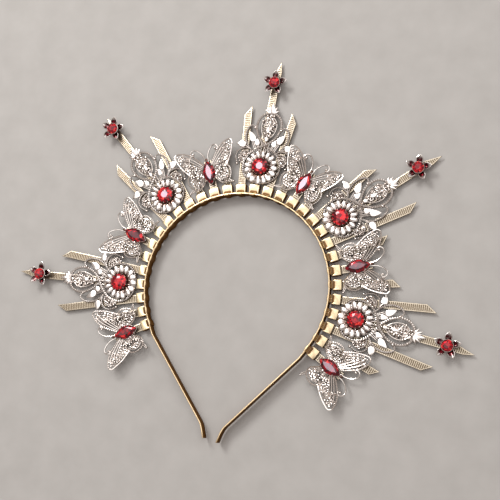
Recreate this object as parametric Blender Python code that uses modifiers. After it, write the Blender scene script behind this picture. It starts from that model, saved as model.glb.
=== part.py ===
"""Halo crown: a sprung metal headband that carries a ring of folded sleeves, with flat rays standing
out of them, five filigree clusters with a red-stoned flower, and six butterflies between.

The crown lies on its back. X runs across it, Y towards the top ray and Z out of its front. Each
ornament is modelled with the ring's centre at the origin and its own ray along Y, and is then
turned to its sleeve. Lengths are in metres; the tables below are in millimetres and degrees.
"""

import math

import bmesh
import bpy
from mathutils import Matrix, Vector

MM = 0.001
MERGE_DISTANCE = 1e-6
FLAT_ANGLE = math.radians(0.5)
LENS_STEPS = 3

# The headband.
RING_RADIUS = 62.5 * MM
RING_CENTRE = Vector((0.8 * MM, -28.0 * MM, 0.0))
BAND_THICKNESS = 0.8 * MM
BAND_BACK = 1.3 * MM
BAND_FRONT = 8.5 * MM
# Each leg's corners and its tip, from the last sleeve down; the left one's are mirrored.
RIGHT_LEG = ((52.7, -34.4), (50.3, -38.5), (9.3, -90.2), (8.0, -94.0), (6.6, -99.7))
LEFT_LEG = ((52.4, -34.9), (50.1, -38.9), (6.0, -89.6), (4.5, -93.2), (2.6, -98.4))

# The sleeves: a square box with a tongue that wraps the band.
SLEEVE_PITCH = math.radians(8.0)
LAST_SLEEVE = 15
BOX_WIDTH = 6.6 * MM
BOX_INNER = 63.6 * MM
BOX_OUTER = 69.7 * MM
BOX_FRONT = 4.6 * MM
TONGUE_WIDTH = 4.7 * MM
TONGUE_WALL = 0.4 * MM
TONGUE_BACK = 0.6 * MM
TONGUE_FRONT = 9.0 * MM
TONGUE_BEND_TOP = 66.0 * MM
TONGUE_BEND_STEPS = 3

# The rays, and the slots that hold them.
RAY_WIDTH = 5.0 * MM
RAY_BACK = 1.85 * MM
RAY_FRONT = 2.75 * MM
RAY_BASE = 67.3 * MM
RAY_RIM = 0.75 * MM
RAY_RELIEF = 0.2 * MM
SEAT_GAP = 0.3 * MM
SLOT_LENGTH = 3.0 * MM
CENTRE_TIP_SHOULDERS = (7.0 * MM, 11.5 * MM)
CENTRE_TIP_OFFSET = 0.9 * MM
SIDE_TIP_CUT = 6.2 * MM
WING_TIP_CUT = 5.0 * MM

# slot, turn of the filigree, lean of the ray, reach of the ray, reach of the tip flower
CLUSTERS = (
    (-12, 0.3, 3.1, 158.5, 141.4),
    (-6, 0.2, -0.7, 156.4, 145.4),
    (0, 1.2, 1.0, 155.9, 139.9),
    (6, 0.0, 1.2, 156.7, 140.2),
    (12, 0.0, 0.8, 157.6, 140.6),
)
# slot, reach, lean, side of the long corner (1 is clockwise)
SIDE_RAYS = (
    (-13, 128.4, -1.2, 1),
    (-11, 129.3, 1.8, -1),
    (-7, 125.4, 0.7, 1),
    (-5, 125.2, 1.2, -1),
    (-1, 124.2, 2.8, 1),
    (1, 122.1, 1.7, -1),
    (5, 119.0, 0.2, 1),
    (7, 128.5, 3.2, -1),
    (11, 130.1, -1.1, 1),
    (13, 136.2, -0.8, -1),
)
# The wing rays whose tips are hidden in the photograph end behind their wings.
WING_RAYS = (
    (-14, 97.0, 0.0, -1),
    (-10, 97.0, 0.0, -1),
    (-8, 97.0, 0.0, 1),
    (-4, 97.0, 0.0, -1),
    (-2, 97.0, 0.0, 1),
    (2, 97.0, 0.0, -1),
    (4, 97.0, 0.0, 1),
    (8, 104.0, 0.0, -1),
    (10, 106.9, 0.0, 1),
    (14, 108.0, 0.0, -1),
)
BUTTERFLY_SLOTS = (-15, -9, -3, 3, 9, 15)

# The filigree of a cluster, a pierced plate that lies on the rays.
PLATE_BACK = RAY_FRONT + SEAT_GAP
PLATE_FRONT = PLATE_BACK + 1.2 * MM
FLOWER_REACH = 82.0 * MM
PETALS = 16
PETAL_RADII = (11.0 * MM, 8.9 * MM)
PETAL_HEIGHTS = (4.7 * MM, 5.5 * MM)
FLOWER_CUP = 5.3 * MM
FLOWER_CUP_SIDES = 12
WIRE = 1.4 * MM
SPINE = 1.5 * MM
SPINE_START = 70.9 * MM
RING_WIRE_REACH = 83.0 * MM
RING_WIRE_HALF = (12.8 * MM, 11.8 * MM)
OVAL_REACH = 108.3 * MM
OVAL_HALF = (8.1 * MM, 10.9 * MM)
OVAL_EGG = 0.14
INNER_OVAL_REACH = 107.6 * MM
INNER_OVAL_HALF = (4.4 * MM, 7.4 * MM)
SIDE_LOOP_CENTRE = (10.3, 102.2)
SIDE_LOOP_HALF = (4.2 * MM, 7.6 * MM)
SIDE_LOOP_TURN = math.radians(24.0)
STEM_ALONG = (94.9, 96.6)
STEM_ACROSS = 14.5
LOBE_CENTRE = (14.2, 87.2)
LOBE_RADIUS = 3.9 * MM
LOBE_ARM = 2.4 * MM
RING_WIRE_STEPS = 13
OVAL_STEPS = 14
LOOP_STEPS = 9
LOBE_STEPS = 8
CAP_REACH = 122.3 * MM
CAP_POINTS = 6
CAP_RADII = (4.6 * MM, 2.0 * MM)
# across, along, length, width, turn from the ray (clockwise)
LEAVES = (
    (9.1, 100.5, 11.0, 3.6, 33.0),
    (5.6, 98.1, 6.8, 2.6, 30.0),
    (16.4, 96.1, 7.4, 3.4, 90.0),
)

# Stones, measured from the back of the crown.
FLOWER_STONE_RADIUS = 5.4 * MM
FLOWER_STONE_HEIGHTS = (6.0 * MM, 8.3 * MM)
FLOWER_STONE_FACET = 1.0 * MM
FLOWER_STONE_SIDES = 12
TIP_STONE_RADIUS = 3.7 * MM
TIP_STONE_HEIGHTS = (6.6 * MM, 8.9 * MM)
TIP_STONE_FACET = 0.9 * MM
TIP_STONE_SIDES = 8
MARQUISE_HALF = (4.2 * MM, 8.2 * MM)
MARQUISE_HEIGHTS = (4.9 * MM, 6.9 * MM)
MARQUISE_FACET = 0.7 * MM
MARQUISE_STEPS = 4

# The flower at the tip of each centre ray.
TIP_PETALS = 5
TIP_RINGS = ((3.3 * MM,) * 4, (8.4 * MM, 6.1 * MM, 3.9 * MM, 6.1 * MM))
TIP_HEIGHTS = (5.7 * MM, 7.2 * MM)
TIP_WALL = 0.7 * MM
TIP_CUP_RADIUS = 2.9 * MM
TIP_CUP_DEPTH = 1.0 * MM
TIP_CUP_SIDES = 8
TIP_POST_RADIUS = 1.3 * MM
TIP_POST_SIDES = 6

# The butterflies: across and along from the stone's centre, for the right-hand wings.
BUTTERFLY_REACH = 81.0 * MM
WING_LIFT = math.radians(11.0)
WING_BACK = 3.05 * MM
WING_THICKNESS = 0.9 * MM
WING_OUTLINE = (
    (0.6, 5.0), (4.6, 10.6), (9.2, 16.8), (14.4, 20.2), (19.6, 20.2), (20.4, 17.0), (17.6, 9.4),
    (13.1, 1.4), (15.0, -1.0), (14.7, -6.4), (12.4, -10.8), (9.2, -11.2), (5.6, -8.0), (0.6, -3.4),
)
# across, along, length, width, turn from the ray (clockwise)
WING_HOLES = (
    (7.4, 10.4, 9.0, 2.2, 36.0),
    (13.0, 15.0, 8.0, 2.6, 48.0),
    (10.2, 6.2, 9.0, 2.6, 62.0),
    (9.6, -4.6, 8.6, 3.4, 118.0),
)
# across and along, from the head outwards
ANTENNA = ((0.8, 6.6), (1.8, 13.0), (4.6, 17.6), (8.6, 18.6), (10.0, 16.4))
ANTENNA_RADIUS = 0.55 * MM
BODY_HALF = (2.9 * MM, 8.4 * MM)
BODY_SINK = 0.1 * MM
STEM_REACH = 9.0 * MM

parts = bpy.data.collections.new("halo_crown")


def clear_scene():
    for obj in list(bpy.data.objects):
        bpy.data.objects.remove(obj, do_unlink=True)
    bpy.context.scene.collection.children.link(parts)


def material(name, colour, roughness, metallic=1.0):
    made = bpy.data.materials.new(name)
    made.use_nodes = True
    shader = made.node_tree.nodes["Principled BSDF"]
    shader.inputs["Base Color"].default_value = (*colour, 1.0)
    shader.inputs["Roughness"].default_value = roughness
    shader.inputs["Metallic"].default_value = metallic
    return made


def polar(radius, angle):
    """A point of the crown's plane. Angles run clockwise from the top."""
    return Vector((radius * math.sin(angle), radius * math.cos(angle)))


def turned(point, angle):
    """The point turned clockwise about the origin."""
    return Matrix.Rotation(-angle, 2) @ Vector(point)


def ellipse(centre, half, steps, turn=0.0, egg=0.0):
    """An ellipse, wider towards its far end where egg is above 0."""
    points = []
    for i in range(steps):
        t = math.tau * i / steps
        across = half[0] * math.sin(t) * (1 + egg * math.cos(t))
        points.append(Vector(centre) + turned((across, half[1] * math.cos(t)), turn))
    return points


def lens(centre, half, steps=LENS_STEPS, turn=0.0):
    """A pointed oval, of two equal arcs."""
    points = []
    for side in (1, -1):
        for i in range(steps):
            t = i / steps
            across = side * half[0] * (1 - (2 * t - 1) ** 2)
            points.append(Vector(centre) + turned((across, side * half[1] * (1 - 2 * t)), turn))
    return points


def star(centre, radii, points):
    """A star whose corners lie on two circles in turn."""
    return [Vector(centre) + polar(radii[i % 2], math.pi * i / points) for i in range(2 * points)]


def widened(points, width):
    """The two edges of a closed wire that runs through the points."""
    edges = [], []
    for i, point in enumerate(points):
        run = (points[(i + 1) % len(points)] - points[i - 1]).normalized()
        across = Vector((run.y, -run.x)) * width / 2
        edges[0].append(point + across)
        edges[1].append(point - across)
    return edges


def mesh_from(obj):
    """The object's evaluated mesh, its doubles merged, with the object removed."""
    graph = bpy.context.evaluated_depsgraph_get()
    mesh = bpy.data.meshes.new_from_object(obj.evaluated_get(graph))
    mesh.transform(obj.matrix_world)
    bpy.data.objects.remove(obj, do_unlink=True)
    bm = bmesh.new()
    bm.from_mesh(mesh)
    bmesh.ops.remove_doubles(bm, verts=bm.verts, dist=MERGE_DISTANCE)
    bmesh.ops.recalc_face_normals(bm, faces=bm.faces)
    bm.to_mesh(mesh)
    bm.free()
    return mesh


def scratch_object(data):
    obj = bpy.data.objects.new(data.name, data)
    parts.objects.link(obj)
    bpy.context.view_layer.update()
    return obj


def add_spline(curve, points, cyclic):
    spline = curve.splines.new("POLY")
    spline.points.add(len(points) - 1)
    for target, point in zip(spline.points, points):
        target.co = (*Vector(point).to_3d(), 1.0)
    spline.use_cyclic_u = cyclic


def plate(loops, back, front, chamfer=0.0):
    """A flat solid between two heights: the first loop is its outline and the others are holes."""
    curve = bpy.data.curves.new("plate", "CURVE")
    curve.dimensions = "2D"
    curve.fill_mode = "BOTH"
    curve.bevel_depth = chamfer
    curve.bevel_resolution = 0
    curve.offset = -chamfer
    curve.extrude = (front - back) / 2 - chamfer
    for loop in loops:
        add_spline(curve, loop, True)
    mesh = mesh_from(scratch_object(curve))
    mesh.transform(Matrix.Translation((0, 0, (back + front) / 2)))
    return mesh


def wire(points, radius):
    curve = bpy.data.curves.new("wire", "CURVE")
    curve.dimensions = "3D"
    curve.bevel_depth = radius
    curve.bevel_resolution = 0
    curve.use_fill_caps = True
    add_spline(curve, points, False)
    return mesh_from(scratch_object(curve))


def cylinder(centre, radius, back, front, sides):
    bm = bmesh.new()
    place = Matrix.Translation((centre[0], centre[1], (back + front) / 2))
    bmesh.ops.create_cone(bm, cap_ends=True, segments=sides, radius1=radius, radius2=radius,
                          depth=front - back, matrix=place)
    mesh = bpy.data.meshes.new("cylinder")
    bm.to_mesh(mesh)
    bm.free()
    return mesh


def box(low, high):
    bm = bmesh.new()
    low, high = Vector(low), Vector(high)
    size = Matrix.Diagonal((*(high - low), 1.0))
    bmesh.ops.create_cube(bm, size=1.0, matrix=Matrix.Translation((low + high) / 2) @ size)
    mesh = bpy.data.meshes.new("box")
    bm.to_mesh(mesh)
    bm.free()
    return mesh


def combined(first, others, operation="UNION", solver="EXACT"):
    """The first mesh with each of the others joined to it, or cut from it."""
    base = scratch_object(first)
    tools = [scratch_object(mesh) for mesh in others]
    for tool in tools:
        step = base.modifiers.new("step", "BOOLEAN")
        step.operation = operation
        step.solver = solver
        step.object = tool
    mesh = mesh_from(base)
    for tool in tools:
        bpy.data.objects.remove(tool, do_unlink=True)
    return mesh


def flats_merged(mesh):
    """The mesh with the faces that lie in one plane made one."""
    bm = bmesh.new()
    bm.from_mesh(mesh)
    bmesh.ops.dissolve_limit(bm, angle_limit=FLAT_ANGLE, verts=bm.verts, edges=bm.edges)
    bm.to_mesh(mesh)
    bm.free()
    return mesh


def joined(meshes):
    """Separate bodies in one mesh."""
    bm = bmesh.new()
    for mesh in meshes:
        bm.from_mesh(mesh)
    mesh = bpy.data.meshes.new("joined")
    bm.to_mesh(mesh)
    bm.free()
    return mesh


def mirrored(mesh):
    bm = bmesh.new()
    bm.from_mesh(mesh)
    bmesh.ops.scale(bm, vec=(-1, 1, 1), verts=bm.verts)
    bmesh.ops.reverse_faces(bm, faces=bm.faces)
    copy = bpy.data.meshes.new("mirrored")
    bm.to_mesh(copy)
    bm.free()
    return copy


def add_part(name, mesh, finish, turn=0.0, lean=0.0):
    """A named piece, turned clockwise to its sleeve, and leaning about the sleeve's mouth."""
    obj = bpy.data.objects.new(name, mesh)
    if not mesh.materials:
        mesh.materials.append(finish)
    mouth = Matrix.Translation((0, BOX_OUTER, 0))
    place = mouth @ Matrix.Rotation(-lean, 4, "Z") @ mouth.inverted()
    obj.matrix_world = Matrix.Translation(RING_CENTRE) @ Matrix.Rotation(-turn, 4, "Z") @ place
    parts.objects.link(obj)
    return obj


def sleeve_mesh():
    """A box whose front wall runs on as a tongue, bent forward and over the band's front edge."""
    inner = RING_RADIUS - BAND_THICKNESS / 2 - TONGUE_WALL
    outer = RING_RADIUS + BAND_THICKNESS / 2 + TONGUE_WALL
    shoulder = TONGUE_FRONT - TONGUE_WALL
    reach = TONGUE_BEND_TOP - outer
    rise = shoulder - BOX_FRONT
    profile = [Vector((inner, TONGUE_BACK)), Vector((inner, shoulder)),
               Vector((inner + TONGUE_WALL, TONGUE_FRONT)), Vector((outer - TONGUE_WALL, TONGUE_FRONT))]
    for i in range(TONGUE_BEND_STEPS + 1):
        t = math.pi / 2 * i / TONGUE_BEND_STEPS
        profile.append(Vector((TONGUE_BEND_TOP - reach * math.cos(t), shoulder - rise * math.sin(t))))
    profile.append(Vector((TONGUE_BEND_TOP, TONGUE_BACK)))
    tongue = plate([profile], -TONGUE_WIDTH / 2, TONGUE_WIDTH / 2)
    upright = Matrix(((0, 0, 1, 0), (1, 0, 0, 0), (0, 1, 0, 0), (0, 0, 0, 1)))
    tongue.transform(upright)
    half = BOX_WIDTH / 2
    body = box((-half, BOX_INNER, 0), (half, BOX_OUTER, BOX_FRONT))
    sleeve = combined(body, [tongue])
    gap = SEAT_GAP
    slot = box((-RAY_WIDTH / 2 - gap, BOX_OUTER - SLOT_LENGTH, RAY_BACK - gap),
               (RAY_WIDTH / 2 + gap, BOX_OUTER + SLOT_LENGTH, RAY_FRONT + gap))
    return combined(sleeve, [slot], "DIFFERENCE")


def band_path():
    """The band's centre line, from the left leg's tip over the top to the right leg's."""
    arc = [polar(RING_RADIUS, SLEEVE_PITCH * slot) for slot in range(-LAST_SLEEVE, LAST_SLEEVE + 1)]
    left = [Vector((-across, along)) * MM for across, along in reversed(LEFT_LEG)]
    return left + arc + [Vector(corner) * MM for corner in RIGHT_LEG]


def band_mesh():
    path = band_path()
    edges = [], []
    for i, point in enumerate(path):
        run = (path[min(i + 1, len(path) - 1)] - path[max(i - 1, 0)]).normalized()
        across = Vector((run.y, -run.x)) * BAND_THICKNESS / 2
        edges[0].append(point + across)
        edges[1].append(point - across)
    return plate([edges[0] + edges[1][::-1]], BAND_BACK, BAND_FRONT)


def add_headband(finish):
    sleeve = sleeve_mesh()
    copies = []
    for slot in range(-LAST_SLEEVE, LAST_SLEEVE + 1):
        copy = sleeve.copy()
        copy.transform(Matrix.Rotation(-slot * SLEEVE_PITCH, 4, "Z"))
        copies.append(copy)
    add_part("headband", flats_merged(combined(band_mesh(), [joined(copies)])), finish)


def ray_mesh(outline):
    """A flat bar with a low raised rim on its front."""
    mesh = plate([outline], RAY_BACK, RAY_FRONT)
    bm = bmesh.new()
    bm.from_mesh(mesh)
    bmesh.ops.dissolve_limit(bm, angle_limit=FLAT_ANGLE, verts=bm.verts, edges=bm.edges)
    front = max(bm.faces, key=lambda face: face.calc_center_median().z)
    bmesh.ops.inset_region(bm, faces=[front], thickness=RAY_RIM, use_even_offset=True)
    bmesh.ops.translate(bm, verts=front.verts, vec=(0, 0, -RAY_RELIEF))
    bm.to_mesh(mesh)
    bm.free()
    return mesh


def ray_outline(tip):
    half = RAY_WIDTH / 2
    return [Vector((-half, RAY_BASE)), Vector((half, RAY_BASE))] + [Vector(point) for point in tip]


def add_rays(finish):
    half = RAY_WIDTH / 2
    for number, (slot, _, lean, reach, _) in enumerate(CLUSTERS, 1):
        end = reach * MM
        tip = [(half, end - CENTRE_TIP_SHOULDERS[0]), (CENTRE_TIP_OFFSET, end),
               (-half, end - CENTRE_TIP_SHOULDERS[1])]
        add_part(f"centre_ray_{number}", ray_mesh(ray_outline(tip)), finish,
                 slot * SLEEVE_PITCH, math.radians(lean))
    for name, rows, cut in (("side_ray", SIDE_RAYS, SIDE_TIP_CUT), ("wing_ray", WING_RAYS, WING_TIP_CUT)):
        for number, (slot, reach, lean, side) in enumerate(rows, 1):
            ends = (reach * MM, reach * MM - cut)
            tip = [(half, ends[side < 0]), (-half, ends[side > 0])]
            add_part(f"{name}_{number}", ray_mesh(ray_outline(tip)), finish,
                     slot * SLEEVE_PITCH, math.radians(lean))


def cupped_flower(rings, heights, petals, thickness):
    """A cupped flower about the origin: a disc grown outwards ring by ring. A ring's radii repeat
    round the centre, from the middle of a petal to the valley beside it and back."""
    pattern = len(rings[0])
    sides = petals * pattern
    bm = bmesh.new()
    bmesh.ops.create_circle(bm, cap_ends=True, segments=sides, radius=rings[0][0])
    bmesh.ops.translate(bm, verts=bm.verts, vec=(0, 0, heights[0]))
    edges = bm.edges[:]
    for radii, height in zip(rings[1:], heights[1:]):
        grown = bmesh.ops.extrude_edge_only(bm, edges=edges)["geom"]
        edges = [item for item in grown if isinstance(item, bmesh.types.BMEdge)]
        for vert in [item for item in grown if isinstance(item, bmesh.types.BMVert)]:
            angle = math.atan2(vert.co.x, vert.co.y)
            step = round(angle / (math.tau / sides)) % pattern
            vert.co = (*polar(radii[step], angle), height)
    bmesh.ops.recalc_face_normals(bm, faces=bm.faces)
    mesh = bpy.data.meshes.new("flower")
    bm.to_mesh(mesh)
    bm.free()
    obj = scratch_object(mesh)
    wall = obj.modifiers.new("wall", "SOLIDIFY")
    wall.thickness = thickness
    wall.offset = 0.0
    bpy.context.view_layer.update()
    return mesh_from(obj)


def flat_wire(points):
    """A closed wire of the filigree, as thick as its plate."""
    return plate(widened(points, WIRE), PLATE_BACK, PLATE_FRONT)


def flat_leaf(across, along, length, width, turn):
    """A row of the tables of leaves and wing holes, as a pointed oval."""
    return lens((across * MM, along * MM), (width * MM / 2, length * MM / 2), turn=math.radians(turn))


def filigree_sides():
    """The right-hand half of what a cluster has on both sides: loop, lobe, stem and leaves."""
    loop = ellipse(Vector(SIDE_LOOP_CENTRE) * MM, SIDE_LOOP_HALF, LOOP_STEPS, SIDE_LOOP_TURN)
    lobe = Vector(LOBE_CENTRE) * MM
    arm = LOBE_ARM / 2
    sides = [
        flat_wire(loop),
        flat_wire(ellipse(lobe, (LOBE_RADIUS,) * 2, LOBE_STEPS)),
        box((FLOWER_CUP / 2, lobe.y - arm, PLATE_BACK), (lobe.x + LOBE_RADIUS, lobe.y + arm, PLATE_FRONT)),
        box((0, STEM_ALONG[0] * MM, PLATE_BACK), (STEM_ACROSS * MM, STEM_ALONG[1] * MM, PLATE_FRONT)),
    ]
    return sides + [plate([flat_leaf(*row)], PLATE_BACK, PLATE_FRONT) for row in LEAVES]


def filigree_mesh():
    """The cluster's pierced plate with the daisy soldered on its lower end."""
    flower = Vector((0, FLOWER_REACH))
    cap = star((0, CAP_REACH), CAP_RADII, CAP_POINTS)
    pieces = [
        flat_wire(ellipse((0, RING_WIRE_REACH), RING_WIRE_HALF, RING_WIRE_STEPS)),
        flat_wire(ellipse((0, OVAL_REACH), OVAL_HALF, OVAL_STEPS, egg=OVAL_EGG)),
        flat_wire(ellipse((0, INNER_OVAL_REACH), INNER_OVAL_HALF, LOOP_STEPS)),
        box((-SPINE / 2, SPINE_START, PLATE_BACK), (SPINE / 2, CAP_REACH, PLATE_FRONT)),
        plate([cap], PLATE_BACK, PLATE_FRONT),
        plate([star(flower, PETAL_RADII, PETALS)], *PETAL_HEIGHTS),
    ]
    for mesh in filigree_sides():
        pieces += [mesh, mirrored(mesh)]
    cup = cylinder(flower, FLOWER_CUP, PLATE_BACK, FLOWER_STONE_HEIGHTS[0] - SEAT_GAP, FLOWER_CUP_SIDES)
    return flats_merged(combined(cup, pieces, solver="MANIFOLD"))


def stone_mesh(outline, heights, facet):
    """A cut stone: a flat table, sloping crown facets, and the same below the girdle."""
    return plate([outline], *heights, facet)


def tip_flower_mesh():
    """Pointed petals on a plain post, modelled about the origin, with one of them along Y."""
    petals = cupped_flower(TIP_RINGS, TIP_HEIGHTS, TIP_PETALS, TIP_WALL)
    post = cylinder((0, 0), TIP_POST_RADIUS, PLATE_BACK, TIP_HEIGHTS[0], TIP_POST_SIDES)
    cup = cylinder((0, 0), TIP_CUP_RADIUS, TIP_HEIGHTS[0] - TIP_CUP_DEPTH,
                   TIP_STONE_HEIGHTS[0] - SEAT_GAP, TIP_CUP_SIDES)
    return flats_merged(combined(petals, [post, cup]))


def add_clusters(metal, petal_metal, ruby):
    filigree = filigree_mesh()
    tip_flower = tip_flower_mesh()
    girdle = ellipse((0, FLOWER_REACH), (FLOWER_STONE_RADIUS,) * 2, FLOWER_STONE_SIDES)
    flower_stone = stone_mesh(girdle, FLOWER_STONE_HEIGHTS, FLOWER_STONE_FACET)
    girdle = ellipse((0, 0), (TIP_STONE_RADIUS,) * 2, TIP_STONE_SIDES)
    tip_stone = stone_mesh(girdle, TIP_STONE_HEIGHTS, TIP_STONE_FACET)
    for number, (slot, turn, lean, _, reach) in enumerate(CLUSTERS, 1):
        angle = slot * SLEEVE_PITCH
        add_part(f"filigree_{number}", filigree, metal, angle + math.radians(turn))
        add_part(f"flower_stone_{number}", flower_stone, ruby, angle + math.radians(turn))
        for name, shape, finish in (("tip_flower", tip_flower, petal_metal), ("tip_stone", tip_stone, ruby)):
            mesh = shape.copy()
            # Every tip flower keeps one petal towards the top of the crown.
            mesh.transform(Matrix.Translation((0, reach * MM, 0)) @ Matrix.Rotation(angle, 4, "Z"))
            add_part(f"{name}_{number}", mesh, finish, angle, math.radians(lean))


def wing_mesh():
    """The right-hand pair of wings, pierced, with its antenna, lifted about the body."""
    outline = [Vector(point) * MM for point in WING_OUTLINE]
    holes = [flat_leaf(*row) for row in WING_HOLES]
    route = [(across * MM, along * MM, WING_THICKNESS / 2) for across, along in ANTENNA]
    wing = combined(plate([outline] + holes, 0, WING_THICKNESS), [wire(route, ANTENNA_RADIUS)])
    wing.transform(Matrix.Translation((0, BUTTERFLY_REACH, WING_BACK)) @ Matrix.Rotation(-WING_LIFT, 4, "Y"))
    return wing


def butterfly_mesh():
    """Both pairs of wings on a body that is soldered to its short ray."""
    middle = BUTTERFLY_REACH
    half = RAY_WIDTH / 2
    seat = MARQUISE_HEIGHTS[0] - SEAT_GAP
    body = plate([lens((0, middle), BODY_HALF, MARQUISE_STEPS)], RAY_FRONT - BODY_SINK, seat)
    stem = box((-half, RAY_BASE, RAY_BACK), (half, middle + STEM_REACH, RAY_FRONT))
    wing = wing_mesh()
    return flats_merged(combined(body, [stem, wing, mirrored(wing)]))


def add_butterflies(metal, ruby):
    butterfly = butterfly_mesh()
    outline = lens((0, BUTTERFLY_REACH), MARQUISE_HALF, MARQUISE_STEPS)
    stone = stone_mesh(outline, MARQUISE_HEIGHTS, MARQUISE_FACET)
    for number, slot in enumerate(BUTTERFLY_SLOTS, 1):
        add_part(f"butterfly_{number}", butterfly, metal, slot * SLEEVE_PITCH)
        add_part(f"butterfly_stone_{number}", stone, ruby, slot * SLEEVE_PITCH)


def main():
    clear_scene()
    gold = material("champagne_gold", (0.87, 0.72, 0.50), 0.3)
    pale_gold = material("pale_gold", (0.80, 0.71, 0.53), 0.38)
    silver = material("warm_silver", (0.83, 0.74, 0.66), 0.28)
    bright = material("bright_silver", (0.90, 0.87, 0.85), 0.12)
    ruby = material("ruby_glass", (0.62, 0.01, 0.03), 0.05, 0.0)
    add_headband(gold)
    add_rays(pale_gold)
    add_clusters(silver, bright, ruby)
    add_butterflies(silver, ruby)


main()
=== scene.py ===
"""Halo crown, dressed.

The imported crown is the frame. Each ornament is modelled in millimetres, with the ring's centre at the
origin, its own ray along Y and the crown's back at Z 0. It is then turned to its sleeve and scaled
into the frame. Across means along X and along means along Y.
"""

import math
import random
from collections import namedtuple

import bmesh
import bpy
from mathutils import Matrix, Vector
from mathutils.geometry import intersect_point_line


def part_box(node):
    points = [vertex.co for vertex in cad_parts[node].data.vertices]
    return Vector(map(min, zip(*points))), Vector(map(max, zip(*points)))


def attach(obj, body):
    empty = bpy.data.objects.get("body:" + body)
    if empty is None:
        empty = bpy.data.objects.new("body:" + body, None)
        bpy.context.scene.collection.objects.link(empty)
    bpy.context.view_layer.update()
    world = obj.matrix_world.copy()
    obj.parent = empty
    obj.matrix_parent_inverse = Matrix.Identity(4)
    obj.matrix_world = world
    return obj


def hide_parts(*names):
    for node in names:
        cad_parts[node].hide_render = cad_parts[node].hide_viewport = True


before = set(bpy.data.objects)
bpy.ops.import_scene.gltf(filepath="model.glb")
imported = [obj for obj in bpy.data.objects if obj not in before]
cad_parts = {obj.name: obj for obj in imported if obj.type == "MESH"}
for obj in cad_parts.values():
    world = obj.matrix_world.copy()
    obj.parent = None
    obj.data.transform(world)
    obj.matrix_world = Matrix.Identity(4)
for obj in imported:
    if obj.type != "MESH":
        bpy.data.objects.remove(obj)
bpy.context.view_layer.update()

MM = 0.001

# The headband and its sleeves.
PITCH = 8.0
LAST_SLEEVE = 15
RING_RADIUS = 62.5
BAND_THICKNESS = 0.8
BAND_BACK = 1.3
BAND_FRONT = 8.5
BAND_ROUNDING = 0.16
# Each leg from the round down: how far out it stands, and along.
RIGHT_LEG = ((52.7, -34.4), (50.3, -38.5), (9.3, -90.2), (8.0, -94.0), (6.6, -99.7))
LEFT_LEG = ((52.4, -34.9), (50.1, -38.9), (6.0, -89.6), (4.5, -93.2), (2.6, -98.4))
LEG_BEND = 2.4
BOX_HALF = 3.3
BOX_INNER = 63.6
BOX_OUTER = 69.7
BOX_FRONT = 4.6
BOX_ROUNDING = 0.22
MOUTH_WALL = 0.5
MOUTH_DEPTH = 3.4
NOTCH_GAP = 0.1
NOTCH_CORNER = 0.9
TONGUE_HALF = 2.35
TONGUE_WALL = 0.4
TONGUE_START = 65.5
TONGUE_ROOT = 0.9
TONGUE_STEPS = 8
TONGUE_BULGE = 0.35
TONGUE_NARROWING = 0.94
FOLD_RADIUS = 0.6
FOLD_PROUD = 0.3
# The tongue's bend, dark with painted shade, and its outer side, lit with painted light, begin this far out.
SHADED_FROM = 64.3
LIT_FROM = RING_RADIUS + 0.3

# The rays.
RAY_HALF = 2.5
RAY_BACK = 1.85
RAY_FRONT = 2.75
RAY_BASE = 67.3
RAY_BORDER = 0.55
RAY_ROUNDING = 0.14
PANEL_DEPTH = 0.35
RIB_PITCH = 1.25
RIB_RADIUS = 0.38
RIB_OVERLAP = 0.1
SHORTEST_RIB = 0.6
POINT_SHOULDERS = (7.0, 11.5)
POINT_OFFSET = 0.9
SIDE_CUT = 6.2
WING_CUT = 5.0

# slot, turn and lean of the filigree, lean of the ray, reach of the ray, reach of the tip flower
CLUSTERS = (
    (-12, 0.1, 2.0, 3.1, 158.5, 141.4),
    (-6, 0.2, 0.0, -0.7, 156.4, 145.4),
    (0, 1.2, 0.0, 1.0, 155.9, 139.9),
    (6, 0.0, 0.0, 1.2, 156.7, 140.2),
    (12, 0.0, 0.0, 0.8, 157.6, 140.6),
)
# slot, reach, lean, side of the long corner (1 is clockwise)
SIDE_RAYS = (
    (-13, 128.4, -1.2, 1), (-11, 129.3, 1.8, -1), (-7, 125.4, 0.7, 1), (-5, 125.2, 1.2, -1),
    (-1, 124.2, 2.8, 1), (1, 122.1, 1.7, -1), (5, 119.0, 0.2, 1), (7, 128.5, 3.2, -1),
    (11, 130.1, -1.1, 1), (13, 136.2, -0.8, -1),
)
WING_RAYS = (
    (-14, 97.0, 0.0, -1), (-10, 97.0, 0.0, -1), (-8, 97.0, 0.0, 1), (-4, 97.0, 0.0, -1),
    (-2, 97.0, 0.0, 1), (2, 97.0, 0.0, -1), (4, 97.0, 0.0, 1), (8, 104.0, 0.0, -1),
    (10, 106.9, 0.0, 1), (14, 108.0, 0.0, -1),
)
BUTTERFLY_SLOTS = (-15, -9, -3, 3, 9, 15)

# Where the ornaments stand, and their stones.
WIRE_HEIGHT = 3.7
FLOWER_REACH = 82.0
BUTTERFLY_REACH = 81.0
# A stone's half width and half length, the heights of its back and front, its table as shares of its
# sizes, and its depth: the higher it is, the fewer facets have a bright painted glow.
Cut = namedtuple("Cut", "half back front table depth")
FLOWER_CUT = Cut((5.4, 5.4), 6.0, 8.3, (0.43, 0.43), 1.0)
TIP_CUT = Cut((3.7, 3.7), 6.6, 8.9, (0.5, 0.5), 0.7)
MARQUISE_CUT = Cut((4.2, 8.2), 4.9, 6.9, (0.45, 0.66), 3.0)
# The painted glow of a stone's table, without a glint and with one.
FLOWER_GLOWS = (0.55, 0.15)
MARQUISE_GLOWS = (0.4, 0.05)
TIP_GLOW = 0.45

# The floor and the room.
FLOOR_HALF = 8.0
FLOOR_DROP = 0.0001
ROOM_COLOUR = (0.42, 0.37, 0.34, 1.0)

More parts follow.
